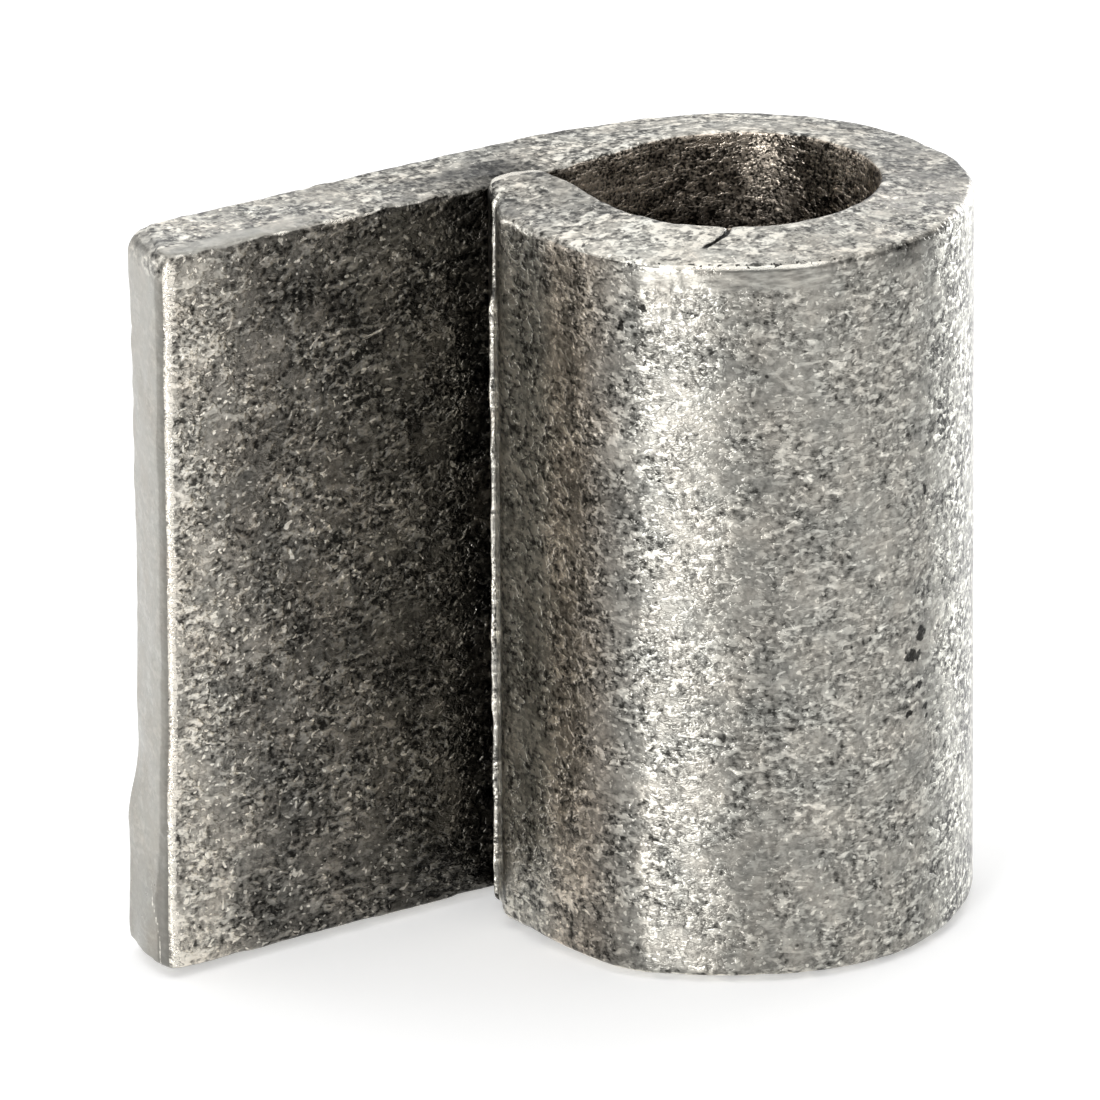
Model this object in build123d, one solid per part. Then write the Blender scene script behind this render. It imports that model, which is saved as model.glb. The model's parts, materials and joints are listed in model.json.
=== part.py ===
"""Weld-on hinge leaf: one length of flat steel bar, sheared at both ends and rolled at one end
into an open eye for a hinge pin.

Frame, in millimetres: the origin is on the pin's axis at the middle of the bar's width, +Z runs
along the axis, the flat leaf runs towards -X, and its back, the face that is welded on, faces +Y.
Seen from +Z the bar leaves the leaf at +Y, turns clockwise round the bore, and its sheared tip
ends against the leaf's front face.
"""
from build123d import *
from math import cos, radians, sin, tan
import os

# The flat bar
BAR_WIDTH = 45.0
BAR_THICKNESS = 6.0

# The eye
BORE_DIAMETER = 17.0
TIP_LEAN = 5.0            # degrees that the eye is closed past three quarters of a turn
SEAM_GAP = 0.12           # hairline left between the tip and the leaf

# The sheared tip: its outer face is drawn in up to a sharp burr, and bevelled from there to the seam
DRAWN_FROM_LEAF = 4.5     # where the outer face starts to draw in, from the leaf's front face
BURR_FROM_LEAF = 2.2
BURR_THICKNESS = 5.2      # of the tip at the burr
DRAW_IN_HALFWAY = 0.25    # how far the outer face has drawn in halfway to the burr
TIP_END_THICKNESS = 3.9   # of the tip at the seam

# The flat leaf and its sheared free end
LEAF_REACH = 35.5         # from the pin's axis to the free end
SHEARED_DEPTH = 2.1       # square part of the end, from the leaf's front face
BREAK_SETBACK = 1.6       # how far the broken part behind it falls back
BREAK_CORNER = 1.4        # upper and lower corners of the broken part

# What rolling does to the bar's edges: squeezed out inside the bend and drawn in outside it
INNER_BULGE = 0.4
OUTER_DRAW_IN = 0.15
RUN_OUT = 7.0             # length of leaf over which the edges come back to flat

# Edges rounded by shearing, rolling and tumbling
OUTER_EDGE = 0.5          # along the leaf's back and round the outside of the eye
LEAF_FRONT_EDGE = 0.45
BORE_EDGE = 0.3

bore_radius = BORE_DIAMETER / 2
eye_radius = bore_radius + BAR_THICKNESS
half_width = BAR_WIDTH / 2
bulged_half_width = half_width + INNER_BULGE
drawn_half_width = half_width - OUTER_DRAW_IN


def bar_section(place, thickness, inner_half, outer_half, inner_edge):
    """Section of the bar, with local X from its inner face to its outer one and local Y up."""
    corners = [(0, -inner_half), (thickness, -outer_half), (thickness, outer_half), (0, inner_half)]
    section = make_face(Polyline(*corners, close=True))
    section = fillet(section.vertices().group_by(Axis.X)[0], inner_edge)
    section = fillet(section.vertices().group_by(Axis.X)[-1], OUTER_EDGE)
    return place * section


def leaf_station(x):
    """Plane across the leaf at x, looking along the bar towards the eye."""
    return Plane(origin=(x, bore_radius, 0), x_dir=(0, 1, 0), z_dir=(1, 0, 0))


def edges_clear_of(face, open_end):
    """Edges of a face, without those on the section that the next length of bar carries on from."""
    return face.edges().filter_by(lambda edge: edge.center().X < open_end - 0.001)


def flat_leaf():
    """Leaf from its sheared free end to the station where the bar's edges start to change."""
    knee = Vector(-LEAF_REACH, bore_radius + SHEARED_DEPTH)
    heel = Vector(-LEAF_REACH + BREAK_SETBACK, eye_radius)
    front_corner = (-LEAF_REACH, bore_radius)
    joint_front = (-RUN_OUT, bore_radius)
    joint_back = (-RUN_OUT, eye_radius)
    plan = make_face(Polyline(joint_front, front_corner, knee, heel, joint_back, close=True))
    leaf = extrude(plan, half_width, both=True)

    # the broken part of the end turns over at its upper and lower corners
    break_run = (heel - knee).normalized()
    across_break = Plane(origin=knee, x_dir=break_run.cross(Vector(0, 0, 1)), z_dir=break_run)
    side_view = Rectangle(LEAF_REACH, BAR_WIDTH, align=(Align.MIN, Align.CENTER))
    side_view = fillet(side_view.vertices().group_by(Axis.X)[0], BREAK_CORNER)
    leaf &= extrude(across_break * side_view, LEAF_REACH, both=True)

    back_face = leaf.faces().filter_by(Axis.Y).sort_by(Axis.Y)[-1]
    leaf = fillet(edges_clear_of(back_face, -RUN_OUT), OUTER_EDGE)
    front_face = leaf.faces().filter_by(Axis.Y).sort_by(Axis.Y)[0]
    return fillet(edges_clear_of(front_face, -RUN_OUT), LEAF_FRONT_EDGE)


def bent_section(place):
    """Section of the bar anywhere in the bend."""
    return bar_section(place, BAR_THICKNESS, bulged_half_width, drawn_half_width, BORE_EDGE)


def run_out():
    """Length of leaf over which its square section changes to that of the bend."""
    place = leaf_station(-RUN_OUT)
    flat_section = bar_section(place, BAR_THICKNESS, half_width, half_width, LEAF_FRONT_EDGE)
    return loft([flat_section, bent_section(leaf_station(0))], ruled=True)


def eye():
    """The bend itself, from the leaf's tangent line clockwise round the bore."""
    return revolve(bent_section(leaf_station(0)), Axis.Z, revolution_arc=-(270 + TIP_LEAN))


def tip_section(from_leaf, thickness, inner_half):
    """Section across the straight tip, parallel to the leaf's front face and this far from it."""
    y = bore_radius - from_leaf
    lean = radians(TIP_LEAN)
    inner_x = -bore_radius * cos(lean) + (y - bore_radius * sin(lean)) * tan(lean)
    place = Plane(origin=(inner_x, y, 0), x_dir=(-1, 0, 0), z_dir=(0, 1, 0))
    return bar_section(place, thickness, inner_half, half_width, BORE_EDGE)


def tip():
    """Straight sheared tip, from the end of the bend to a hairline off the leaf's front face."""
    lean = radians(TIP_LEAN)
    outwards = Vector(-cos(lean), sin(lean))
    onwards = Vector(sin(lean), cos(lean))
    bend_end = bent_section(Plane(origin=outwards * bore_radius, x_dir=outwards, z_dir=onwards))
    halfway_from_leaf = (DRAWN_FROM_LEAF + BURR_FROM_LEAF) / 2
    drawn_start = tip_section(DRAWN_FROM_LEAF, BAR_THICKNESS, bulged_half_width)
    halfway = tip_section(halfway_from_leaf, BAR_THICKNESS - DRAW_IN_HALFWAY, bulged_half_width)
    burr = tip_section(BURR_FROM_LEAF, BURR_THICKNESS, bulged_half_width)
    end = tip_section(SEAM_GAP, TIP_END_THICKNESS, half_width)
    straight = loft([bend_end, drawn_start], ruled=True)
    drawn_in = loft([drawn_start, halfway, burr])
    bevelled = loft([burr, end], ruled=True)
    return straight + drawn_in + bevelled


hinge_leaf = flat_leaf() + run_out() + eye() + tip()

os.makedirs("parts", exist_ok=True)
export_step(hinge_leaf, "parts/hinge_leaf.step")
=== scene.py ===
import json
from itertools import product
from math import cos, pi, radians, sin

import bpy
import numpy as np
from mathutils import Matrix, Vector


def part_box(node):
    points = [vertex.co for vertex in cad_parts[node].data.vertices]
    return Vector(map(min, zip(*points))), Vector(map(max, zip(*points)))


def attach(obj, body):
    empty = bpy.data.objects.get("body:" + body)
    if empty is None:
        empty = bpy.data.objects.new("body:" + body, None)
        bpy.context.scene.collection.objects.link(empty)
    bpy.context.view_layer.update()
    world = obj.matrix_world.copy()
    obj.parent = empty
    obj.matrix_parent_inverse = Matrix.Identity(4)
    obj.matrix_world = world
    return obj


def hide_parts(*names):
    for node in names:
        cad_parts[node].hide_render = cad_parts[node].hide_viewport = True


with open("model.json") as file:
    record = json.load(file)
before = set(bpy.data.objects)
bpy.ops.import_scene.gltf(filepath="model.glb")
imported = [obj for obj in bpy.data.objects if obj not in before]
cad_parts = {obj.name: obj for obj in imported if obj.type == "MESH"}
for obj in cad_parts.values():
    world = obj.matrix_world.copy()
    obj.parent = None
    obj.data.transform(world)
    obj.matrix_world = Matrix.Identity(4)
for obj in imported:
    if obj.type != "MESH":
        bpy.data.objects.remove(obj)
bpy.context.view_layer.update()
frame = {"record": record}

# Inside the bar's functions lengths are millimetres, and this turns them into Blender's metres
MM = 0.001

LOW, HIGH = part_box("hinge_leaf")

# ---------------------------------------------------------------- the bar, from the frame

PIN_BORE = next(m for m in frame["record"]["mounts"] if m["name"] == "pin_bore")
BORE = PIN_BORE["dims"]["r_mm"]
THICKNESS = HIGH.y / MM - BORE
LEAF_LENGTH = -LOW.x / MM
HALF = 22.5                 # half of the flat bar's width

# The rolled eye
BEND_TURN = 275.0           # degrees from the leaf's tangent line to the straight tip
TIP_LEAN = radians(BEND_TURN - 270)
SEAM_GAP = 0.12
BULGE = 0.36                # the bar's edges squeezed out on the inside of the bend
DRAW_IN = 0.15              # and drawn in on the outside
TOP_DRAW_IN = 0.28          # and how much more at the top, in the part of the bend next to the leaf
RUN_OUT = 7.0               # length over which they come back to flat
BORE_SWELL = 0.38           # how far the bore is out of round, towards +X

# Swells and hollows round the outside of the eye: angle and width in degrees, and height
SWELLS = [
    (-145.5, 13, 0.3),
    (-118, 14, -0.08),
    (-50, 22, -0.25),
]
TIP_HOLLOW = 0.25           # how much thinner the bar is just before its straight tip

# The sheared tip
TIP_DRAWN_FROM = 4.5        # from the leaf's front face
BURR_FROM = 2.2
BURR_THICKNESS = 4.95
TIP_END_THICKNESS = 3.9
TIP_RAISED = 0.1            # how much higher the tip is at its top
TIP_CROWN = 0.26            # and how much more than that between its faces
TIP_LIP = 0.5               # how much further its upper end reaches, over the leaf's edge
BURR_CREST = 0.14
BURR_CREVICE = 0.16
BURR_TORN_BACK = 0.28       # how far the top of the burr is torn back
SCRAPE_DEPTH = 0.3          # of the mark that the tip left in the leaf's upper front edge

# The free end
SHEARED_PART = 1.0          # depth of its square part, from the leaf's front face
SHEARED_MORE = 0.5          # and how much deeper that is low down
FRONT_SETBACK = 0.2
FRONT_SLANT = 0.26          # how much more the front falls back above the foot
HEEL_SETBACK = 1.2
HEEL_SLANT = 0.85           # how much more the heel falls back above the foot
HEEL_RECOVERY = 0.25        # and how much of that is lost again at the top
UPPER_CORNER = 1.3
LOWER_CORNER = 1.0
FRONT_ROLLED_OVER = 0.3     # how deep the shear pressed the front face's edge in
END_SKEW = 0.2              # how much higher the leaf's upper and lower edges lie at the free end
END_FADE = 7.5              # length over which the end's slant dies out in the stations behind it

# Radii of the bar's rounded edges
FRONT_EDGE = 0.42           # of the leaf's front face
BORE_EDGE = 0.34
BACK_EDGE = 0.35            # of the leaf's back
EYE_EDGE = 0.5              # round the outside of the eye
SHEARED_EDGE = 0.28         # of the free end's front part
BROKEN_EDGE = 0.6           # and of its part deeper than BROKEN_FROM
BROKEN_FROM = 2.1
TIP_INNER_EDGE = 0.45
TIP_OUTER_EDGE = 0.3

# A nick across the upper face of the eye, from the bore outwards
NICK_POLAR = -127.5
NICK_LEAN = 0.27
NICK_DEPTH = 0.24
NICK_WIDTH = 0.13

# Angle round the pin's axis, height and radius of the largest pits in the eye's outer face
EYE_RADIUS = BORE + THICKNESS
DEEP_PITS = [
    (-75.8, -2.55, 0.6),
    (-79.5, -3.75, 0.56),
    (-77.5, -3.95, 0.5),
    (-76.4, -5.8, 0.42),
    (-80.0, -7.5, 0.34),
    (-74.2, -7.2, 0.36),
    (-74.0, -7.9, 0.3),
    (-69.0, -2.4, 0.34),
    (-74.0, 6.5, 0.34),
    (-122.4, -1.15, 0.24),
    (-147.4, 19.5, 0.46),
    (-152.5, 18.2, 0.38),
]

# Ends of the bright scratches in the leaf's front face, as X and Z
SCRATCHES = [
    ((-21.15, 14.65), (-19.12, 15.16)),
    ((-24.9, 14.9), (-23.9, 15.7)),
    ((-30.6, 17.2), (-30.2, 18.4)),
    ((-12.4, -6.0), (-12.0, -4.6)),
]

# Stations are lengths along the bar's inner face, from the free end to the tip
bend_length = BORE * radians(BEND_TURN)
tip_start_y = BORE * sin(TIP_LEAN)
tip_length = (BORE - SEAM_GAP - tip_start_y) / cos(TIP_LEAN)
bend_start = LEAF_LENGTH
tip_start = bend_start + bend_length
bar_end = tip_start + tip_length
burr_station = bar_end - (BURR_FROM - SEAM_GAP) / cos(TIP_LEAN)
drawn_station = bar_end - (TIP_DRAWN_FROM - SEAM_GAP) / cos(TIP_LEAN)


def smoothstep(value, start, end):
    """0 before start, 1 after end, and smooth in between."""
    share = np.clip((value - start) / (end - start), 0, 1)
    return share * share * (3 - 2 * share)


def bell(value, centre, width):
    """Smooth bump of height 1 at centre."""
    return np.exp(-((value - centre) / width) ** 2)


def bells(value, bumps):
    """Sum of smooth bumps, each a centre, a width and a height."""
    return sum(height * bell(value, centre, width) for centre, width, height in bumps)


def arch(share):
    """1 over most of the way from 0 to 1, and 0 at both ends."""
    return 1 - np.abs(2 * share - 1) ** 3


def smooth_noise(points, size, seed):
    """Random field from -1 to 1, smooth, with features of this size."""
    cell = np.asarray(points, float) / size
    base = np.floor(cell).astype(np.int64)
    part = cell - base
    part = part * part * (3 - 2 * part)
    total = np.zeros(len(cell))
    for corner in product((0, 1), repeat=cell.shape[1]):
        lattice = base + np.array(corner)
        mixed = lattice @ np.array([73856093, 19349663, 83492791][:cell.shape[1]]) + seed * 2654435761
        mixed = (mixed ^ (mixed >> 13)) * 1274126177
        mixed = (mixed ^ (mixed >> 16)) & 0xFFFF
        weight = np.prod(np.where(np.array(corner) == 1, part, 1 - part), axis=1)
        total += weight * (mixed / 32767.5 - 1)
    return total


def layered_noise(points, size, seed, layers=3):
    """Smooth noise with finer, weaker layers on it."""
    return sum(smooth_noise(points, size / 2 ** k, seed + k) / 2 ** k for k in range(layers))


def along(values):
    """Places for noise that changes with one value only."""
    return np.column_stack([values, values * 0])


# ---------------------------------------------------------------- stations and samples

def spaced(start, end, step):
    """Values from start to just before end, about a step apart."""
    return np.linspace(start, end, max(2, round((end - start) / step) + 1))[:-1]


def station_at(polar):
    """Station of an angle round the pin's axis, in degrees, 90 at the leaf's tangent line."""
    return bend_start + BORE * radians(90 - polar)


def bar_stations():
    """Stations along the bar, closer together at its ends, its bend, the nick and the burr."""
    nick = station_at(NICK_POLAR)
    return np.concatenate([
        spaced(0, 0.9, 0.09),
        spaced(0.9, 3, 0.26),
        spaced(3, bend_start, 0.42),
        spaced(bend_start, nick - 0.4, 0.29),
        spaced(nick - 0.4, nick + 0.4, 0.05),
        spaced(nick + 0.4, tip_start, 0.29),
        spaced(tip_start, burr_station - 0.9, 0.3),
        spaced(burr_station - 0.9, burr_station + 0.42, 0.06),
        spaced(burr_station + 0.42, bar_end - 0.5, 0.25),
        spaced(bar_end - 0.5, bar_end, 0.125),
        [bar_end],
    ])


def width_samples():
    """Shares of the half width, from -1 to 1, closer together at the bar's edges."""
    edge = np.array([0, 0.09, 0.18, 0.28, 0.4, 0.54, 0.72, 0.95, 1.22])
    rest = np.linspace(1.5, 2 * HALF - 1.5, 112)
    return np.concatenate([edge, rest, (2 * HALF - edge)[::-1]]) / HALF - 1


def depth_samples():
    """Shares of the thickness, from the inner face at 0 to the outer one at 1."""
    edge = np.array([0, 0.08, 0.17, 0.28, 0.44])
    sheared = np.linspace(0.75, 2.6, 10)[:-1]
    rest = np.linspace(2.6, THICKNESS - 0.75, 7)
    return np.concatenate([edge, sheared, rest, (THICKNESS - edge)[::-1]]) / THICKNESS


def surface_grid(counts):
    """Vertex indices on a box grid's six sides, and the quads that join them, facing outwards."""
    index = np.full(counts, -1)
    outside = np.zeros(counts, bool)
    for axis in range(3):
        side = [slice(None)] * 3
        for end in (0, -1):
            side[axis] = end
            outside[tuple(side)] = True
    places = np.argwhere(outside)
    index[outside] = np.arange(len(places))
    quads = []
    for axis in range(3):
        for end in (0, -1):
            side = np.take(index, 0 if end == 0 else counts[axis] - 1, axis=axis)
            ring = [side[:-1, :-1], side[1:, :-1], side[1:, 1:], side[:-1, 1:]]
            quad = np.stack([corner.ravel() for corner in ring], axis=1)
            forward = (axis != 1) == (end == -1)
            quads.append(quad if forward else quad[:, ::-1])
    return places, np.concatenate(quads)


# ---------------------------------------------------------------- form of the bar

def place_on_bar(station, depth, height):
    """Points in the row frame, from the station along the bar's inner face, the depth outwards
    from that face and the height."""
    turned = np.clip((station - bend_start) / BORE, 0, radians(BEND_TURN))
    polar = pi / 2 - turned
    outward = np.stack([np.cos(polar), np.sin(polar)], axis=1)
    onward = np.stack([np.sin(polar), -np.cos(polar)], axis=1)
    before = np.minimum(station - bend_start, 0)
    after = np.maximum(station - tip_start, 0)
    inner = outward * BORE + onward * (before + after)[:, None]
    flat = inner + outward * depth[:, None]
    return np.column_stack([flat, height])


def polar_angle(station):
    """Degrees round the pin's axis, 90 at the leaf's tangent line and falling along the bend."""
    return 90 - np.degrees((station - bend_start) / BORE)


def local_thickness(station):
    """Thickness of the bar: rolled a little out of round, and drawn in by the shear at the tip."""
    polar = polar_angle(station)
    before_tip = smoothstep(-polar, 159, 175) * (1 - smoothstep(station, tip_start, tip_start + 3))
    uneven = bells(polar, SWELLS) - TIP_HOLLOW * before_tip
    drawn = smoothstep(station, drawn_station - 1.0, burr_station) * (THICKNESS - BURR_THICKNESS)
    bevel = np.clip((station - burr_station) / (bar_end - burr_station), 0, 1)
    return THICKNESS + uneven - drawn - bevel * (BURR_THICKNESS - TIP_END_THICKNESS)


def local_half_width(station, depth_share, upper):
    """Half width of the bar at a depth: wider inside the bend, narrower outside it."""
    polar = polar_angle(station)
    bent = smoothstep(station, bend_start - RUN_OUT, bend_start + 2)
    bent *= 1 - smoothstep(station, burr_station - 1, bar_end)
    drawn_more = TOP_DRAW_IN * smoothstep(polar, -70, 20) * bent
    still_full = (DRAW_IN + 0.03) * smoothstep(-polar, 45, 85) * (1 - smoothstep(-polar, 150, 172))
    draw_in = DRAW_IN + np.where(upper, drawn_more, -still_full)
    raised_tip = (TIP_RAISED + TIP_CROWN * arch(depth_share)) * upper
    raised_tip *= smoothstep(station, burr_station - 3, bar_end - 0.5)
    skew = END_SKEW * np.where(upper, 1, -1) * (1 - np.clip(station / bend_start, 0, 1))
    # the upper and lower edges wave apart from each other, and the leaf's upper front edge is ragged
    wave = 0.05 * layered_noise(np.column_stack([station, upper * 40.0, depth_share * 2]), 1.7, seed=11)
    near_front = upper * (station < bend_start) * (1 - depth_share) ** 6
    wave += 0.09 * near_front * layered_noise(along(station), 1.1, seed=12, layers=2)
    return HALF + bent * (BULGE * (1 - depth_share) - draw_in * depth_share) + raised_tip + skew + wave


def round_edges(station, depth, height, thickness, half):
    """Turns the box's sharp edges into round ones, as shearing, rolling and tumbling left them."""
    inside = depth < thickness / 2
    at_leaf = station < bend_start
    edge = np.select([inside & at_leaf, inside, at_leaf], [FRONT_EDGE, BORE_EDGE, BACK_EDGE], EYE_EDGE)
    at_free_end = station < LEAF_LENGTH / 2
    end = np.select(
        [at_free_end & (depth < BROKEN_FROM), at_free_end, inside],
        [SHEARED_EDGE, BROKEN_EDGE, TIP_INNER_EDGE], TIP_OUTER_EDGE)
    core = [
        np.clip(station, end, bar_end - end),
        np.clip(depth, edge, thickness - edge),
        np.clip(height, edge - half, half - edge),
    ]
    radii = [end, edge, edge]
    out = [(value - middle) / radius
           for value, middle, radius in zip((station, depth, height), core, radii)]
    length = np.sqrt(sum(part ** 2 for part in out))
    return [middle + radius * part / length for middle, radius, part in zip(core, radii, out)]


def sheared_depth(height):
    """Depth of the free end's square, sheared part, from the leaf's front face."""
    wave = 0.1 * layered_noise(along(height), 2.6, seed=23)
    return SHEARED_PART + SHEARED_MORE * smoothstep(-height, 14, 18) + wave


def free_end_setback(depth, height):
    """How far the sheared free end falls back: square near the leaf's front face, then broken on
    a slant that turns over at the upper and lower corners."""
    front = FRONT_SETBACK + FRONT_SLANT * smoothstep(height, -14, -4)
    # the square part is deepest at the foot
    sheared = sheared_depth(height) + smoothstep(-height, 17.5, 21)
    behind = np.clip((depth - sheared) / (THICKNESS - sheared), 0, 1) ** 1.2
    heel = HEEL_SETBACK + HEEL_SLANT * smoothstep(height, -14.5, -10)
    heel -= HEEL_RECOVERY * smoothstep(height, 12, 22)
    heel += 0.07 * layered_noise(np.column_stack([height, behind]), 3.5, seed=21)
    corner = np.where(height > 0, UPPER_CORNER, LOWER_CORNER)
    over = np.clip(np.abs(height) - (HALF - corner), 0, corner)
    turned = corner - np.sqrt(corner ** 2 - over ** 2)
    wave = 0.03 * layered_noise(np.column_stack([height, depth * 0.4]), 2.4, seed=22)
    square_corner = np.where(height > 0, 0.25 + 0.75 * behind, 0.5 * behind)
    return front + behind * (heel - front) + square_corner * turned + wave


def bore_swell(station, depth_share):
    """How much deeper the inner face lies where the bore is out of round."""
    towards_x = np.clip(np.cos(np.radians(polar_angle(station))), 0, 1) ** 2
    in_bend = (station > bend_start) & (station < tip_start)
    return BORE_SWELL * towards_x * (1 - depth_share) * in_bend


def burr_relief(station, height):
    """Torn crest of the burr and the crevice behind it, down the whole tip."""
    ragged = 1 + 0.5 * layered_noise(along(height), 1.1, seed=41)
    crest = BURR_CREST * bell(station, burr_station - 0.02, 0.08) * ragged
    uneven = 1 + 0.4 * layered_noise(along(height), 2.3, seed=42)
    crevice = BURR_CREVICE * bell(station, burr_station - 0.27, 0.1) * uneven
    torn_back = BURR_TORN_BACK * smoothstep(height, 15.2, 17.2) * bell(station, burr_station, 0.6)
    return crest - crevice - torn_back


def scraped(station, depth, height):
    """Where the tip was forced against the leaf's upper front edge."""
    scrape = bell(station, 25.5, 4.6) * (1 - smoothstep(depth, 0.3, 1.5)) * smoothstep(height, 19, 22)
    return scrape * (1 - smoothstep(station, 26.2, 28.0))


def shaded(station, depth):
    """The dark part of the leaf's upper face beside that scrape: painted shade under the tip's end."""
    shade = bell(station, 25.8, 5.6) * (1 - smoothstep(depth, 2.6, 4.0))
    return shade * (1 - smoothstep(station, 26.5, 29.5))


def nick_profile(station, depth_share):
    """Depth of the nick, as if it ran across the whole thickness."""
    off_nick = station - station_at(NICK_POLAR) - NICK_LEAN * depth_share * THICKNESS
    return NICK_DEPTH * bell(off_nick + 0.12 * np.sin(depth_share * 9), 0, NICK_WIDTH)


def dents(points):
    """Shallow relief that rolling, scale and tumbling left all over the bar."""
    broad = layered_noise(points, 4.5, seed=31, layers=2)
    pocked = np.clip(layered_noise(points, 1.5, seed=32, layers=2) - 0.25, 0, 1)
    fine = smooth_noise(points, 0.75, seed=33)
    return 0.012 - 0.02 * broad - 0.07 * pocked - 0.012 * fine


def outward_normals(points, quads):
    """Unit normal of the surface at each point."""
    corner = points[quads]
    facing = np.cross(corner[:, 2] - corner[:, 0], corner[:, 3] - corner[:, 1])
    normals = np.zeros_like(points)
    for k in range(4):
        np.add.at(normals, quads[:, k], facing)
    return normals / np.linalg.norm(normals, axis=1)[:, None]


# ---------------------------------------------------------------- finish, painted light and painted shade of the bar's faces

PLAIN_TONE = 0.43           # brightness of a face with no shading of its own
FAR_OFF = 9.0               # stands for the distance to the corner's line on the other faces

# Stripes of painted shade down the outside of the eye: angle and width in degrees, and change in
# brightness
OUTER_PAINTED_SHADE_STRIPES = [
    (-159, 11, -0.13),
    (-121.5, 6.5, -0.07),
    (-75, 6, -0.05),
]

# Painted light and shade on the eye's upper and lower faces, lighter and darker parts: angle, width,
# share of brightness
RING_PAINTED_LIGHT_AND_SHADE = [
    (-145, 28, 0.6),
    (40, 60, 0.08),
    (-35, 45, -0.34),
]

# Patches of dark scale on the leaf's front: station and length, height and width
DARK_SCALE = [
    (10.5, 2.2, 18.4, 1.6),
    (13.2, 1.2, 17.4, 1.3),
]


class Surface:
    """The bar's surface points: where each one is and which face it is on."""

    def __init__(self, station, depth, height, thickness, half, depth_share, width_share):
        self.station = station
        self.depth = depth
        self.height = height
        self.thickness = thickness
        self.depth_share = depth_share
        self.upper = height > 0
        self.polar = polar_angle(station)
        self.along_leaf = station / LEAF_LENGTH
        self.place = np.column_stack([station, height])
        self.past_burr = smoothstep(station, burr_station + 0.02, burr_station + 0.1)

        self.edge_face = np.abs(width_share) == 1
        inner_face = (depth_share == 0) & ~self.edge_face
        self.outer_face = (depth_share == 1) & ~self.edge_face
        self.leaf_front = inner_face & (station < bend_start)
        self.bore = inner_face & (station >= bend_start - BORE)
        self.free_end = (station < 0.7) & (depth_share > 0) & ~self.edge_face

        # an edge is where two pairs of faces are near, so the second smallest gap counts
        gaps = np.sort(np.stack([
            np.minimum(depth, thickness - depth),
            half - np.abs(height),
            np.minimum(station, bar_end - station),
        ]), axis=0)
        self.from_edge = gaps[1]

        # smoother than the rest: a band under the eye's upper rim, and the front of the leaf's
        # upper and lower faces near the free end
        under_rim = smoothstep(self.polar, -153, -146) * (1 - smoothstep(self.polar, -110, -98))
        ragged_height = height + 0.25 * layered_noise(self.place, 2.0, seed=56)
        self.under_rim = under_rim * smoothstep(ragged_height, 20.5, 21.1) * self.outer_face
        self.front_bevel = self.edge_face * (depth < 1.7) * (1 - smoothstep(station, 9, 14))


def leaf_front_tone(surface):
    """Bright near the free end and darker further on, partly the steel's own tone and partly
    painted shade where the eye hides the leaf from the light, with patches of scale.
    """
    share = surface.along_leaf
    # darker towards the eye: partly painted shade
    tone = 0.51 - 0.352 * smoothstep(share, 0.02, 0.22) - 0.075 * smoothstep(share, 0.22, 0.5)
    tone *= 1 + 0.28 * layered_noise(surface.place, 3.2, seed=51)
    scale = sum(
        bell(surface.station, station, length) * bell(surface.height, height, width)
        for station, length, height, width in DARK_SCALE)
    return tone * ((1 - 0.55 * scale) * (1 + 0.35 * smoothstep(share, 0.55, 0.7)))


def outer_tone(surface):
    """The outside of the eye with its stripes of painted shade, and the leaf's back; painted light
    just before the tip, and painted shade on the right flank and under the rim there.
    """
    polar = surface.polar
    # lighter just before the tip: painted light; the stripes: painted shade
    tone = 0.36 + 0.2 * smoothstep(-polar, 166, 180) + bells(polar, OUTER_PAINTED_SHADE_STRIPES)
    tone *= 1 + 0.3 * layered_noise(surface.place, 3.6, seed=59) * smoothstep(-polar, 138, 150)
    # painted shade on the right flank, where the back lamp's highlight lies
    tone *= 1 - 0.25 * smoothstep(polar, -50, -40) * (1 - smoothstep(polar, -30, -10))
    # painted shade under the rim on the right
    painted_shade_under_rim = 0.6 * bell(polar, -80, 9) * smoothstep(surface.height, 20.2, 21.6)
    return tone * (1 + 0.08 * surface.under_rim) * (1 - painted_shade_under_rim)


def edge_face_tone(surface):
    """The bar's upper and lower faces: painted light and shade round the eye, and darker towards
    the tip and over the leaf.
    """
    # painted light and shade round the eye
    shade = bells(surface.polar, RING_PAINTED_LIGHT_AND_SHADE)
    shade -= 0.27 * smoothstep(surface.station, tip_start - 4, tip_start)
    shade -= 0.1 * (surface.station < bend_start - 6)
    return PLAIN_TONE * (1 + shade)


def bore_tone(surface):
    """Brightest close under the upper rim and darker below it, and dark in the corner of the seam:
    painted shade.
    """
    seam = bend_start - BORE
    tone = np.where(surface.station < bend_start, 0.54, 0.39)
    # painted shade below the upper rim
    tone *= 1 - 0.62 * smoothstep(-surface.height, -20.5, -17)
    # painted shade into the seam's corner
    return tone * (0.15 + 0.85 * smoothstep(surface.station, seam + 1.4, seam + 4.2))


def free_end_tone(surface):
    """The sheared part is darker than the broken one, and the top is the brightest."""
    broken = smoothstep(surface.depth - sheared_depth(surface.height), -0.12, 0.12)
    tone = 0.27 - 0.05 * smoothstep(-surface.height, 14, 18) + 0.12 * broken
    return tone + (0.42 - tone) * smoothstep(surface.height, 20.6, 22.2)


def tone_of(surface):
    """How bright the metal is."""
    tone = np.select(
        [surface.free_end, surface.bore, surface.leaf_front, surface.outer_face, surface.edge_face],
        [free_end_tone(surface), bore_tone(surface), leaf_front_tone(surface), outer_tone(surface),
         edge_face_tone(surface)], PLAIN_TONE)
    # darker: the front corner of the free end; painted shade: the bevel past the burr and the crevice
    # beside it
    corner = (surface.depth_share == 0) * (1 - smoothstep(surface.station, 0.02, 0.16))
    tone = tone * (1 - 0.55 * corner)
    tone = np.where((surface.past_burr > 0.5) & ~surface.edge_face, 0.1, tone)
    crevice = bell(surface.station, burr_station - 0.26, 0.13) * (surface.depth_share == 1)
    return tone * (1 - 0.9 * crevice)


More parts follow.
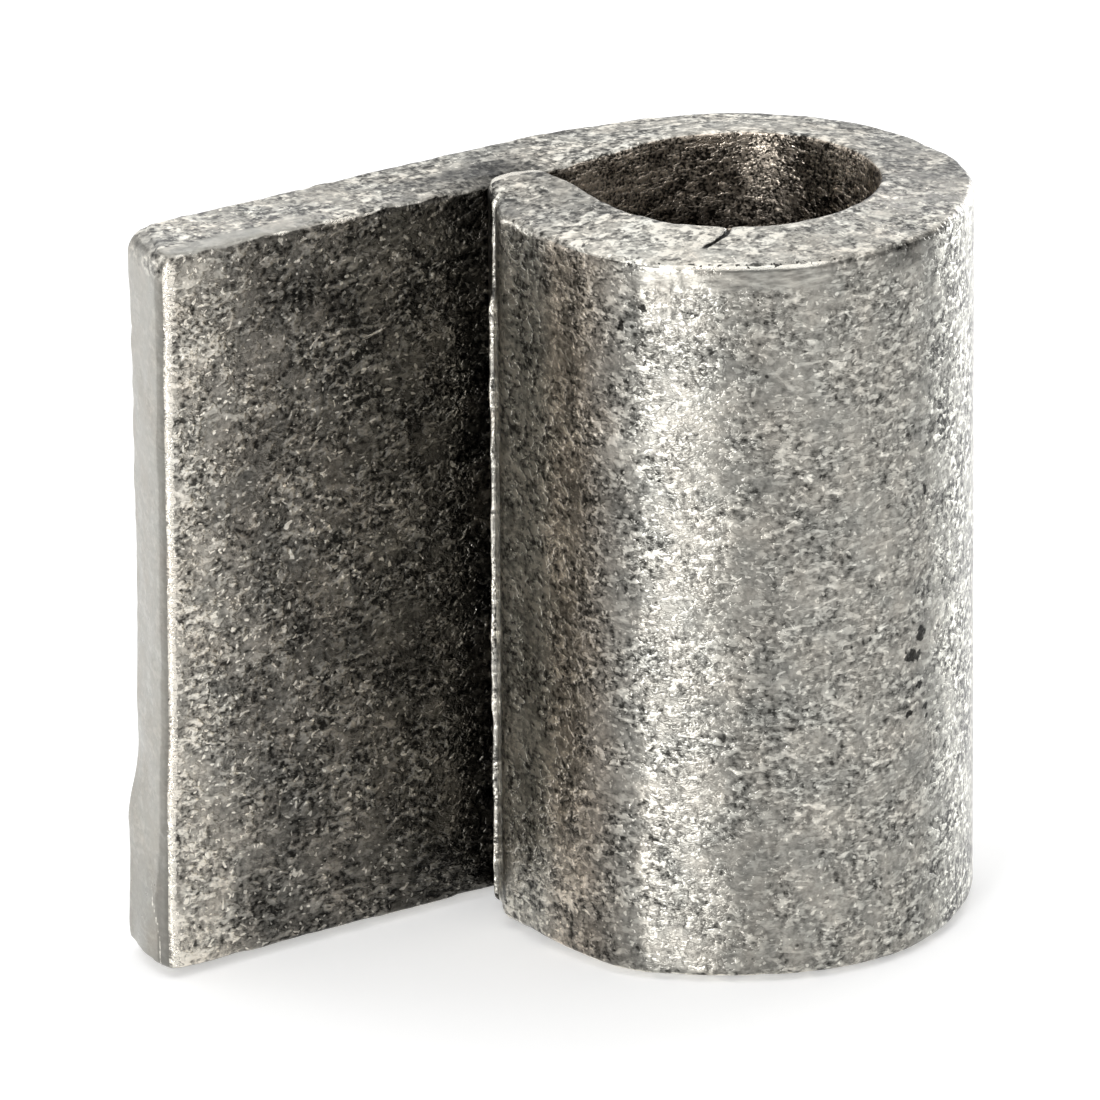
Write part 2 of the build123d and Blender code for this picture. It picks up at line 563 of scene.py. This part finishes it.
def contrast_of(surface):
    """How strongly the metal is mottled."""
    station, polar = surface.station, surface.polar
    leaf_front = 1.5 + 0.45 * smoothstep(surface.along_leaf, 0.1, 0.35)
    outer = 1.2 + 0.4 * smoothstep(-polar, 140, 150)
    outer += 0.75 * smoothstep(polar, -74, -62) * (1 - smoothstep(polar, -50, -30))
    plain = np.where((station < bend_start) | (station > tip_start - 3), 1.8, 1.35)
    edge_face = plain + 0.45 * smoothstep(polar, -100, -60) * (station > bend_start)
    free_end = 0.2 + smoothstep(surface.height, 20.8, 21.8)
    contrast = np.select(
        [surface.free_end, surface.bore, surface.leaf_front, surface.outer_face, surface.edge_face],
        [free_end, 1.7, leaf_front, outer, edge_face], plain)
    return contrast * (1 - 0.8 * surface.under_rim) * (1 - 0.75 * surface.front_bevel)


def relief_of(surface):
    """How rough the metal's wrinkles and grain are."""
    relief = np.select(
        [surface.free_end, surface.bore, surface.leaf_front, surface.outer_face],
        [0.35, 1.3, 1.8, 0.95], 0.7)
    return relief * (1 - 0.75 * surface.under_rim) * (1 - 0.6 * surface.front_bevel)


def warmth_of(surface):
    """How brown the metal is: most in the bore, and outside the eye shortly before the tip."""
    polar = surface.polar
    outer = 0.18 - 0.3 * smoothstep(polar, -84, -62) + 0.62 * smoothstep(-polar, 150, 163)
    outer -= 0.55 * smoothstep(-polar, 172, 182)
    return np.select([surface.bore, surface.leaf_front, surface.outer_face], [1.1, 0.38, outer], 0.2)


def streaked_where(surface):
    """Where fine lines run along the bar: under the eye's rim and on the leaf's edge faces."""
    leaf = surface.edge_face * (surface.station < bend_start) * (surface.depth > 1.5)
    return np.maximum(surface.under_rim, 0.7 * leaf)


def chipped_where(surface):
    """Where small dark notches break the eye's upper rim."""
    rim = bell(surface.depth, surface.thickness - 0.3, 0.22) * surface.edge_face * surface.upper
    return bell(surface.polar, -122, 34) * rim


def off_worn_and_highlit_corner_line(surface):
    """Distance from the thin bright line beside the front corner of the free end: wear, with a
    painted highlight on the corner's rounding.
    """
    height = surface.height
    wobble = 0.06 * layered_noise(along(height), 1.6, seed=52)
    # the line is wear with a painted highlight on the corner's rounding
    off = surface.station - 0.28 - wobble - 0.1 * smoothstep(np.abs(height), 17, 22)
    off = off * (1 - 0.5 * smoothstep(height, 18.5, 20.5))
    return np.where((surface.depth_share == 0) & (height < 22.3), off, FAR_OFF)


def worn_and_highlit_edges(surface):
    """Edges that tumbling wore bright, most on the eye's upper rims, the tip and the leaf's front;
    on these upper rims and edges the brightness is also a painted highlight.
    """
    station, depth, polar, upper = surface.station, surface.depth, surface.polar, surface.upper
    across = np.column_stack([station, surface.depth_share])
    # wear along the upper rims and edges, with painted highlights where they face the front
    outer_rim = bell(polar, -122, 24) * upper * (depth > 3)
    tip_rim = 0.8 * smoothstep(station, drawn_station - 1, burr_station) * upper * (depth < 4.5)
    flakes = np.clip(0.3 + 1.2 * layered_noise(across, 1.2, seed=55), 0, 1)
    bore_rim = 0.75 * bell(polar, -120, 50) + 0.9 * flakes * bell(polar, 45, 32)
    bore_rim *= upper * (depth < 3)
    front_edge = 0.3 * (1 + layered_noise(across, 1.8, seed=53))
    front_edge *= upper * (station < bend_start - 10) * (depth < 2)
    edge = np.exp(-(np.clip(surface.from_edge - 0.12, 0, None) / 0.2) ** 2)
    wear_and_highlight = edge * np.clip(0.28 + outer_rim + tip_rim + bore_rim + front_edge, 0, 1)
    # neither the bevel past the burr nor the free end's corner is worn or given a painted highlight
    return wear_and_highlight * np.where(surface.edge_face, 1, 1 - surface.past_burr) * smoothstep(station, 0, 0.9)


def worn_tip_end(surface):
    """The top of the tip's end, bright where it rubbed on the leaf."""
    rubbed = smoothstep(surface.station, bar_end - 0.9, bar_end - 0.45)
    return 0.9 * rubbed * surface.edge_face * surface.upper


def flaked_bore(surface):
    """Bright flakes just inside the far rim of the bore."""
    flaked = np.clip(0.1 + 1.3 * layered_noise(surface.place, 1.0, seed=58, layers=2), 0, 0.9)
    return flaked * bell(surface.polar, 62, 24) * smoothstep(surface.height, 21.0, 22.2) * surface.bore


def break_line(surface):
    """Bright line down the free end where the sheared part changes to the broken one."""
    down = -surface.height
    off = surface.depth - sheared_depth(surface.height)
    off += 0.9 * smoothstep(down, 17, 21)
    off -= 0.6 * smoothstep(down, 15.5, 17)
    return surface.free_end * bell(off, 0, 0.17) * (0.3 + 0.5 * smoothstep(down, 16.5, 17.5))


def burr_shine(surface):
    """Bright, torn crest of the burr, with a painted highlight along it."""
    torn = np.clip(0.42 + 0.7 * layered_noise(along(surface.height), 1.3, seed=54), 0.1, 1)
    torn = np.maximum(torn, 0.78 * smoothstep(surface.height, 15.5, 17.5))
    return bell(surface.station, burr_station - 0.04, 0.07) * torn


def wear_and_highlight_of(surface):
    """How far the metal is worn or broken bright, painted highlights included."""
    wear_and_highlight = np.maximum.reduce([
        worn_and_highlit_edges(surface), worn_tip_end(surface), flaked_bore(surface), break_line(surface)])
    at_burr = (surface.station > drawn_station) & (surface.depth_share == 1)
    return np.where(at_burr, burr_shine(surface), wear_and_highlight)


def surface_finish_and_painted_light(surface):
    """What the material needs to know at each point."""
    return {
        "tone": tone_of(surface),
        "contrast": contrast_of(surface),
        "relief": relief_of(surface),
        "wear_and_highlight": wear_and_highlight_of(surface),
        "streaked": streaked_where(surface),
        "warmth": warmth_of(surface),
        "off_worn_and_highlit_corner": off_worn_and_highlit_corner_line(surface),
        "chipped": chipped_where(surface),
        "granular": surface.bore * 1.0,
    }


# ---------------------------------------------------------------- the bar's mesh

def hinge_leaf_mesh():
    """The whole bar as one closed mesh with its rolled, sheared and tumbled relief."""
    stations, depths, widths = bar_stations(), depth_samples(), width_samples()
    places, quads = surface_grid((len(stations), len(depths), len(widths)))
    station = stations[places[:, 0]]
    depth_share = depths[places[:, 1]]
    width_share = widths[places[:, 2]]
    top_face = width_share == 1
    thickness = local_thickness(station)
    half = local_half_width(station, depth_share, width_share > 0)
    # the columns lean along with the nick, so that it is cut cleanly
    station = station + NICK_LEAN * depth_share * THICKNESS * bell(station, station_at(NICK_POLAR), 3)
    station, depth, height = round_edges(
        station, depth_share * thickness, width_share * half, thickness, half)

    depth = depth + bore_swell(station, depth_share)
    depth = depth + depth_share * burr_relief(station, height)
    scrape = scraped(station, depth, height)
    height = height - SCRAPE_DEPTH * scrape
    nick = nick_profile(station, depth_share)
    height = height - nick * top_face * (1 - smoothstep(depth_share, 0.42, 0.6))

    finish_and_painted_light = surface_finish_and_painted_light(Surface(station, depth, height, thickness, half, depth_share, width_share))
    # painted shade: the real scrape mark and the face beside it are darkened under the tip's upper end
    finish_and_painted_light["tone"] *= 1 - 0.75 * np.maximum(scrape, shaded(station, depth) * top_face)
    finish_and_painted_light["wear_and_highlight"] *= 1 - smoothstep(scrape, 0.1, 0.4)
    # inside the nick nearly black: painted shade
    finish_and_painted_light["tone"][(nick > 0.05) & top_face & (depth_share < 0.52)] = 0.02

    # the tip's upper end reaches over the edge that it scraped
    lip = smoothstep(station, bar_end - 0.9, bar_end) * smoothstep(height, 21.9, 22.35)
    station = station + TIP_LIP * arch(depth_share) * lip
    rolled_over = np.clip(1 - station / 0.9, 0, 1) ** 2 * (1 - smoothstep(depth, 0, 1.6))
    depth = depth + FRONT_ROLLED_OVER * rolled_over
    station = station + free_end_setback(depth, height) * (1 - smoothstep(station, 0, END_FADE))

    points = place_on_bar(station, depth, height)
    points = points + outward_normals(points, quads) * dents(points)[:, None]
    points = np.clip(points, np.array(LOW) / MM, np.array(HIGH) / MM)
    return points, quads, finish_and_painted_light


def make_piece(name, points, quads, finish_and_painted_light):
    """Mesh object from points in millimetres, quads and each point's finish, painted light and shade."""
    mesh = bpy.data.meshes.new(name)
    mesh.vertices.add(len(points))
    mesh.vertices.foreach_set("co", (points * MM).ravel())
    mesh.loops.add(quads.size)
    mesh.loops.foreach_set("vertex_index", quads.ravel())
    mesh.polygons.add(len(quads))
    mesh.polygons.foreach_set("loop_start", np.arange(0, quads.size, 4))
    mesh.polygons.foreach_set("use_smooth", np.ones(len(quads), bool))
    mesh.update(calc_edges=True)
    mesh.validate()
    for key, values in finish_and_painted_light.items():
        mesh.attributes.new(key, "FLOAT", "POINT").data.foreach_set("value", values.astype(np.float32))
    piece = bpy.data.objects.new(name, mesh)
    bpy.context.scene.collection.objects.link(piece)
    return piece


# ---------------------------------------------------------------- materials

def new_material(name):
    material = bpy.data.materials.new(name)
    material.use_nodes = True
    return material, material.node_tree


def node(tree, kind, **values):
    """Node with its settings and unlinked inputs set by name."""
    made = tree.nodes.new(kind)
    for key, value in values.items():
        if key in made.inputs:
            made.inputs[key].default_value = value
        else:
            setattr(made, key, value)
    return made


def plug(tree, socket, value):
    """Sets an input to a number or links it to a node's output."""
    if isinstance(value, (int, float, tuple)):
        socket.default_value = value
    else:
        tree.links.new(value, socket)


def arithmetic(tree, kind, operation, values, **settings):
    """Node for arithmetic on numbers and other nodes' outputs."""
    made = node(tree, kind, operation=operation, **settings)
    for socket, value in zip(made.inputs, values):
        plug(tree, socket, value)
    return made


def calc(tree, operation, *values, clamp=False):
    """Result of arithmetic on numbers."""
    return arithmetic(tree, "ShaderNodeMath", operation, values, use_clamp=clamp).outputs["Value"]


def calc_vector(tree, operation, *values):
    """Vector that arithmetic on vectors gives."""
    return arithmetic(tree, "ShaderNodeVectorMath", operation, values).outputs["Vector"]


def measure(tree, operation, *values):
    """Number that arithmetic on vectors gives."""
    return arithmetic(tree, "ShaderNodeVectorMath", operation, values).outputs["Value"]


def remap(tree, value, low, high, to_low=0.0, to_high=1.0):
    """Smooth change from to_low, where the value is low, to to_high, where it is high."""
    made = node(tree, "ShaderNodeMapRange", interpolation_type="SMOOTHSTEP")
    for key, setting in (("Value", value), ("From Min", low), ("From Max", high),
                         ("To Min", to_low), ("To Max", to_high)):
        plug(tree, made.inputs[key], setting)
    return made.outputs[0]


def noise(tree, vector, scale, detail=2.0, roughness=0.5):
    made = node(tree, "ShaderNodeTexNoise", Scale=scale, Detail=detail, Roughness=roughness)
    plug(tree, made.inputs["Vector"], vector)
    return made


def cells(tree, vector, scale):
    made = node(tree, "ShaderNodeTexVoronoi", Scale=scale)
    plug(tree, made.inputs["Vector"], vector)
    return made


def centred(tree, texture, weight):
    """A noise's value about zero, times a weight."""
    return calc(tree, "MULTIPLY", calc(tree, "SUBTRACT", texture.outputs["Fac"], 0.5), weight)


def attribute(tree, name):
    return node(tree, "ShaderNodeAttribute", attribute_name=name).outputs["Fac"]


# ---------------------------------------------------------------- bare steel

# How often each pattern of the steel's skin repeats in a millimetre
CALM_SCALE = 0.36           # areas with weaker wrinkles and grain
BLOTCH_SCALE = 0.42         # soft light and dark areas
PATCH_SCALE = 0.8           # bends the other patterns and sizes the small pits
PIT_SCALE = 1.1
STROKE_CELL_SCALE = 1.5     # areas within which strokes point one way
WRINKLE_SCALE = 2.4         # wrinkles from the rolls, drawn out along the bar
GRAIN_SCALE = 2.7
STROKE_SCALE = 3.0
STREAK_SCALE = 3.4          # lines where the metal was rubbed smooth
SPECKLE_SCALE = 6.0         # grains in the bore

# How strongly each pattern lightens or darkens the metal
WRINKLE_WEIGHT = 3.1
GRAIN_WEIGHT = 2.2
PLATEAU_WEIGHT = 0.35
BLOTCH_WEIGHT = 1.1
PIT_WEIGHT = 0.45
STREAK_WEIGHT = 2.6
SPECKLE_WEIGHT = 5.0
FLECK_AND_GLINT_WEIGHT = 0.9
DEEP_PIT_WEIGHT = 0.88
DARKEST = 0.12              # share of its tone that the darkest mottling keeps

WORN_AND_HIGHLIT_BRIGHTNESS = 0.88
BRIGHTEST = 0.95
COOL_TINT = (1.0, 0.985, 0.9, 1)
WARM_TINT = (1.0, 0.875, 0.73, 1)
ROUGHNESS = 0.32
SMOOTHEST = 0.26
RELIEF_HEIGHT = 0.15 * MM


class SteelSkin:
    """The patterns that colour, gloss and relief share."""

    def __init__(self, tree, place):
        self.place = place
        self.blotch = noise(tree, place, BLOTCH_SCALE, 4.0, 0.62)
        self.patch = noise(tree, place, PATCH_SCALE)
        self.wander = calc_vector(tree, "SUBTRACT", self.patch.outputs["Color"], (0.5, 0.5, 0.5))
        self.bent = calc_vector(tree, "MULTIPLY_ADD", self.wander, (0.28, 0.28, 0.28), place)
        along_bar = calc_vector(tree, "MULTIPLY", self.bent, (0.52, 0.52, 1.0))
        self.wrinkle = noise(tree, along_bar, WRINKLE_SCALE, 2.6, 0.6)
        self.grain = noise(tree, self.bent, GRAIN_SCALE, 1.8, 0.55)
        off_middle = calc(tree, "ABSOLUTE", centred(tree, self.wrinkle, 1.0))
        self.plateau = remap(tree, off_middle, 0.0, 0.075)
        calm = noise(tree, place, CALM_SCALE, 1.0)
        self.busy = remap(tree, calm.outputs["Fac"], 0.36, 0.56, 0.5, 1.0)


def strokes(tree, place):
    """Noise drawn out into short strokes that point another way in each small cell, as the marks
    of parts that tumbled against each other, and as painted glints where the relief catches light."""
    cell = cells(tree, place, STROKE_CELL_SCALE).outputs["Color"]
    turned = node(tree, "ShaderNodeVectorRotate", rotation_type="EULER_XYZ")
    plug(tree, turned.inputs["Vector"], place)
    plug(tree, turned.inputs["Rotation"], calc_vector(tree, "MULTIPLY", cell, (6.28, 6.28, 6.28)))
    drawn_out = calc_vector(tree, "MULTIPLY", turned.outputs[0], (1.0, 1.0, 0.45))
    return noise(tree, drawn_out, STROKE_SCALE, 1.0)


def small_pits(tree, skin):
    """Small pits, larger in some patches than in others."""
    size = remap(tree, skin.patch.outputs["Fac"], 0.35, 0.65, 0.04, 0.24)
    away = cells(tree, skin.bent, PIT_SCALE).outputs["Distance"]
    return remap(tree, away, calc(tree, "MULTIPLY", size, 0.4), size, 1.0, 0.0)


def deep_pits(tree, skin):
    """The few large pits of the eye's outer face, ragged and nearly black."""
    place = calc_vector(tree, "MULTIPLY_ADD", skin.wander, (0.8, 0.8, 0.8), skin.place)
    total = 0.0
    for polar, height, radius in DEEP_PITS:
        centre = (EYE_RADIUS * cos(radians(polar)), EYE_RADIUS * sin(radians(polar)), height)
        away = measure(tree, "DISTANCE", place, centre)
        ragged = calc(tree, "ADD", away, centred(tree, skin.grain, 1.5 * radius))
        pit = remap(tree, ragged, radius * 0.6, radius * 0.85, 1.0, 0.0)
        total = calc(tree, "MAXIMUM", pit, total)
    return total


def scratches(tree, place):
    """Single bright scratches in the leaf's front face."""
    into_leaf = Vector((0, 1, 0))
    total = 0.0
    for start, end in SCRATCHES:
        start, end = Vector((start[0], BORE, start[1])), Vector((end[0], BORE, end[1]))
        run = (end - start).normalized()
        across = run.cross(into_leaf)
        delta = calc_vector(tree, "SUBTRACT", place, tuple((start + end) / 2))
        parts = []
        for direction, reach in ((run, (end - start).length / 2), (across, 0.1), (into_leaf, 0.5)):
            share = measure(tree, "DOT_PRODUCT", delta, tuple(direction / reach))
            parts.append(calc(tree, "POWER", calc(tree, "ABSOLUTE", share), 2.0))
        off = calc(tree, "ADD", calc(tree, "ADD", parts[0], parts[1]), parts[2])
        total = calc(tree, "MAXIMUM", remap(tree, off, 0.3, 1.0, 0.55, 0.0), total)
    return total


def skin_pattern(tree, skin):
    """Light and dark mottling with small pits, about zero."""
    wrinkle = centred(tree, skin.wrinkle, WRINKLE_WEIGHT)
    pattern = calc(tree, "ADD", wrinkle, centred(tree, skin.grain, GRAIN_WEIGHT))
    pattern = calc(tree, "SUBTRACT", pattern, 0.25)
    pattern = calc(tree, "MULTIPLY_ADD", skin.plateau, PLATEAU_WEIGHT, pattern)
    pattern = calc(tree, "MULTIPLY_ADD", pattern, skin.busy, centred(tree, skin.blotch, BLOTCH_WEIGHT))
    pits = calc(tree, "MULTIPLY", small_pits(tree, skin), PIT_WEIGHT)
    return calc(tree, "SUBTRACT", pattern, pits)


def mottled_value(tree, skin):
    """Brightness of the metal before wear: mottled, streaked or granular, with bright flecks that
    are partly painted glints.
    """
    tone = attribute(tree, "tone")
    contrast = attribute(tree, "contrast")
    pattern = calc(tree, "MULTIPLY_ADD", skin_pattern(tree, skin), contrast, 1.0)
    along_streaks = calc_vector(tree, "MULTIPLY", skin.place, (0.15, 0.36, 1.0))
    streak = centred(tree, noise(tree, along_streaks, STREAK_SCALE, 2.0, 0.6), STREAK_WEIGHT)
    pattern = calc(tree, "MULTIPLY_ADD", streak, attribute(tree, "streaked"), pattern)
    speckle = centred(tree, noise(tree, skin.place, SPECKLE_SCALE, 1.0), SPECKLE_WEIGHT)
    pattern = calc(tree, "MULTIPLY_ADD", speckle, attribute(tree, "granular"), pattern)
    value = calc(tree, "MULTIPLY", tone, calc(tree, "MAXIMUM", pattern, DARKEST))
    # bright flecks: partly tumbling marks, partly painted glints
    fleck_and_glint = remap(tree, strokes(tree, skin.bent).outputs["Fac"], 0.64, 0.7)
    fleck_and_glint = calc(tree, "MULTIPLY", fleck_and_glint, calc(tree, "MULTIPLY", tone, FLECK_AND_GLINT_WEIGHT))
    fleck_and_glint = calc(tree, "MULTIPLY", fleck_and_glint, contrast)
    fleck_and_glint = calc(tree, "MULTIPLY", fleck_and_glint, attribute(tree, "relief"))
    return calc(tree, "ADD", value, fleck_and_glint)


def rubbed_and_highlit(tree, skin):
    """Where the metal is bare and bright: worn edges and the corner's line, both with painted
    highlights, and the scratches.
    """
    wear_and_highlight = calc(tree, "ADD", attribute(tree, "wear_and_highlight"), centred(tree, skin.wrinkle, 0.9))
    rub_and_highlight = remap(tree, wear_and_highlight, 0.5, 0.75)
    off_worn_and_highlit_line = calc(tree, "ABSOLUTE", attribute(tree, "off_worn_and_highlit_corner"))
    off_worn_and_highlit_line = calc(tree, "ADD", off_worn_and_highlit_line, centred(tree, skin.grain, 0.5))
    rub_and_highlight = calc(tree, "MAXIMUM", rub_and_highlight, remap(tree, off_worn_and_highlit_line, 0.16, 0.2, 1.0, 0.0))
    return calc(tree, "MAXIMUM", rub_and_highlight, scratches(tree, skin.place))


def left_by_pits(tree, skin):
    """Share of the brightness that the rim's notches and the deep pits leave."""
    notch = calc(tree, "MULTIPLY_ADD", attribute(tree, "chipped"), 0.24, skin.grain.outputs["Fac"])
    notch = remap(tree, notch, 0.75, 0.79, 1.0, 0.1)
    pitted = calc(tree, "MULTIPLY", deep_pits(tree, skin), DEEP_PIT_WEIGHT)
    return calc(tree, "MULTIPLY", notch, calc(tree, "SUBTRACT", 1.0, pitted))


def steel_colour(tree, skin, rub_and_highlight):
    """Brightness times a tint between cool and warm."""
    value = mottled_value(tree, skin)
    # rubbed metal and painted highlights lighten the colour
    gap = calc(tree, "SUBTRACT", WORN_AND_HIGHLIT_BRIGHTNESS, value)
    value = calc(tree, "MULTIPLY_ADD", calc(tree, "MULTIPLY", rub_and_highlight, 0.85), gap, value)
    value = calc(tree, "MINIMUM", calc(tree, "MULTIPLY", value, left_by_pits(tree, skin)), BRIGHTEST)

    warmth = calc(tree, "ADD", attribute(tree, "warmth"), centred(tree, skin.blotch, 1.0), clamp=True)
    tint = node(tree, "ShaderNodeMix", data_type="RGBA")
    plug(tree, tint.inputs["Factor"], warmth)
    shades = [socket for socket in tint.inputs if socket.type == "RGBA"]
    shades[0].default_value = COOL_TINT
    shades[1].default_value = WARM_TINT
    tinted = node(tree, "ShaderNodeVectorMath", operation="SCALE")
    plug(tree, tinted.inputs[0], next(out for out in tint.outputs if out.type == "RGBA"))
    plug(tree, tinted.inputs["Scale"], value)
    return tinted.outputs["Vector"]


def steel_roughness(tree, skin, rub_and_highlight):
    """Uneven gloss, shinier where the metal is rubbed and where its highlights are painted."""
    rough = calc(tree, "ADD", ROUGHNESS, centred(tree, skin.blotch, 0.25))
    rough = calc(tree, "SUBTRACT", rough, calc(tree, "MULTIPLY", rub_and_highlight, 0.1))
    return calc(tree, "MAXIMUM", rough, SMOOTHEST)


def steel_relief(tree, skin):
    """Normal of the wrinkled and grainy skin."""
    height = calc(tree, "ADD", calc(tree, "MULTIPLY", skin.plateau, 0.12), centred(tree, skin.grain, 0.2))
    height = calc(tree, "ADD", height, centred(tree, skin.wrinkle, 1.0))
    height = calc(tree, "MULTIPLY", calc(tree, "MULTIPLY", height, skin.busy), attribute(tree, "relief"))
    bump = node(tree, "ShaderNodeBump", Strength=1.0, Distance=RELIEF_HEIGHT)
    plug(tree, bump.inputs["Height"], height)
    return bump.outputs["Normal"]


def raw_steel():
    """Bare hot-rolled steel, tumbled: soft dark and light areas, patches of short wrinkles from
    the rolls, bright flecks where parts struck each other, which are also painted glints, a few
    pits and worn edges, with painted highlights on the upper rims."""
    material, tree = new_material("raw_steel")
    metres = node(tree, "ShaderNodeTexCoord").outputs["Object"]
    skin = SteelSkin(tree, calc_vector(tree, "MULTIPLY", metres, (1 / MM, 1 / MM, 1 / MM)))
    rub_and_highlight = rubbed_and_highlit(tree, skin)
    shader = tree.nodes["Principled BSDF"].inputs
    plug(tree, shader["Base Color"], steel_colour(tree, skin, rub_and_highlight))
    plug(tree, shader["Roughness"], steel_roughness(tree, skin, rub_and_highlight))
    plug(tree, shader["Normal"], steel_relief(tree, skin))
    shader["Metallic"].default_value = 1.0
    # the wrinkles run along the bar, so they spread light mostly across it
    shader["Anisotropic"].default_value = 0.9
    shader["Anisotropic Rotation"].default_value = 0.25
    round_axis = node(tree, "ShaderNodeTangent", direction_type="RADIAL", axis="Z")
    plug(tree, shader["Tangent"], round_axis.outputs["Tangent"])
    return material


# ---------------------------------------------------------------- camera and studio

CAMERA_AZIMUTH = radians(35.35)
CAMERA_DROP = radians(20.44)
CAMERA_ROLL = radians(-0.41)
CAMERA_DISTANCE = 0.991
CAMERA_LENS = 546.2
AIM_OFFSET = Vector((-2.99, 0, 2.28)) * MM      # from the middle of the leaf's box
AIM = (LOW + HIGH) / 2 + AIM_OFFSET

WHITE = (1, 1, 1, 1)
FLOOR_SIZE = 6
FLOOR_COLOUR = (0.82, 0.82, 0.82, 1)
FLOOR_GLOW = 0.36           # strength of the floor's own light around the hinge
GLOW_GROWS_FROM = 0.22      # distances in metres between which it grows to 1
GLOW_GROWS_TO = 0.8
SKY_STRENGTH = 0.25         # of the world's upper part; at the horizon it is 1

# Name, bearing and rise in degrees, distance, width and height in metres, and radiance
SOFTBOXES = [
    ("key", -20.2, 16, 0.6, 0.12, 0.34, 12.2),
    ("back_right", 142, 8, 0.6, 0.36, 0.16, 8.2),
    ("back_top", 180, 31, 0.7, 0.8, 0.5, 0.95),
    ("left_fill", -110, 20, 0.6, 0.3, 0.4, 1.5),
    ("overhead", 0, 89, 0.8, 1.2, 1.2, 1.2),
]


def add_camera():
    azimuth, drop = CAMERA_AZIMUTH, CAMERA_DROP
    forward = Vector((sin(azimuth) * cos(drop), cos(azimuth) * cos(drop), -sin(drop)))
    right = Vector((cos(azimuth), -sin(azimuth), 0))
    up = right.cross(forward)
    rolled_right = cos(CAMERA_ROLL) * right + sin(CAMERA_ROLL) * up
    rolled_up = cos(CAMERA_ROLL) * up - sin(CAMERA_ROLL) * right
    data = bpy.data.cameras.new("camera")
    data.lens = CAMERA_LENS
    data.clip_start = 0.01
    data.clip_end = 10
    camera = bpy.data.objects.new("camera", data)
    axes = Matrix((rolled_right, rolled_up, -forward)).transposed().to_4x4()
    camera.matrix_world = Matrix.Translation(AIM - CAMERA_DISTANCE * forward) @ axes
    bpy.context.scene.collection.objects.link(camera)
    bpy.context.scene.camera = camera


def add_softbox(name, bearing, rise, distance, width, height, radiance):
    """Rectangular lamp that faces the hinge. Its bearing is in degrees to the right of the camera,
    seen from the hinge, and its rise in degrees above the floor's level."""
    toward = -CAMERA_AZIMUTH - pi / 2 + radians(bearing)
    rise = radians(rise)
    out = Vector((cos(toward) * cos(rise), sin(toward) * cos(rise), sin(rise)))
    data = bpy.data.lights.new(name, "AREA")
    data.shape = "RECTANGLE"
    data.size = width
    data.size_y = height
    data.energy = radiance * pi * width * height
    lamp = bpy.data.objects.new(name, data)
    lamp.rotation_mode = "QUATERNION"
    lamp.rotation_quaternion = out.to_track_quat("Z", "Y")
    lamp.location = Vector(((LOW.x + HIGH.x) / 2, 0, 0)) + out * distance
    lamp.visible_camera = False
    bpy.context.scene.collection.objects.link(lamp)


def floor_white():
    """White studio floor. Its own light is added for the camera and for reflections alike, and it
    is stronger far from the hinge, where the lamps don't reach."""
    material, tree = new_material("studio_floor")
    tree.nodes.remove(tree.nodes["Principled BSDF"])
    rays = node(tree, "ShaderNodeLightPath").outputs
    seen = calc(tree, "ADD", rays["Is Camera Ray"], rays["Is Glossy Ray"], clamp=True)
    seen = calc(tree, "ADD", seen, rays["Is Transmission Ray"], clamp=True)
    away = measure(tree, "LENGTH", node(tree, "ShaderNodeTexCoord").outputs["Object"])
    grown = remap(tree, away, GLOW_GROWS_FROM, GLOW_GROWS_TO, FLOOR_GLOW, 1.0)
    glow = node(tree, "ShaderNodeEmission", Color=WHITE)
    plug(tree, glow.inputs["Strength"], calc(tree, "MULTIPLY", seen, grown))
    diffuse = node(tree, "ShaderNodeBsdfDiffuse", Color=FLOOR_COLOUR)
    both = node(tree, "ShaderNodeAddShader")
    plug(tree, both.inputs[0], diffuse.outputs[0])
    plug(tree, both.inputs[1], glow.outputs[0])
    plug(tree, tree.nodes["Material Output"].inputs["Surface"], both.outputs[0])
    return material


def add_floor():
    bpy.ops.mesh.primitive_plane_add(size=FLOOR_SIZE, location=(0, 0, LOW.z))
    floor = bpy.context.object
    floor.name = "studio_floor"
    floor.data.materials.append(floor_white())


def add_world():
    """Plain pale world, white at the horizon where the floor ends."""
    world = bpy.data.worlds.new("studio")
    world.use_nodes = True
    tree = world.node_tree
    background = tree.nodes["Background"]
    background.inputs["Color"].default_value = WHITE
    upward = node(tree, "ShaderNodeSeparateXYZ")
    plug(tree, upward.inputs[0], node(tree, "ShaderNodeTexCoord").outputs["Generated"])
    strength = remap(tree, upward.outputs["Z"], 0.04, 0.12, 1.0, SKY_STRENGTH)
    plug(tree, background.inputs["Strength"], strength)
    bpy.context.scene.world = world


add_camera()
bpy.context.scene.view_settings.view_transform = "Standard"
add_floor()
add_world()
for softbox in SOFTBOXES:
    add_softbox(*softbox)

hinge_leaf = make_piece("rolled_hinge_leaf", *hinge_leaf_mesh())
hinge_leaf.data.materials.append(raw_steel())
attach(hinge_leaf, "root")
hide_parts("hinge_leaf")
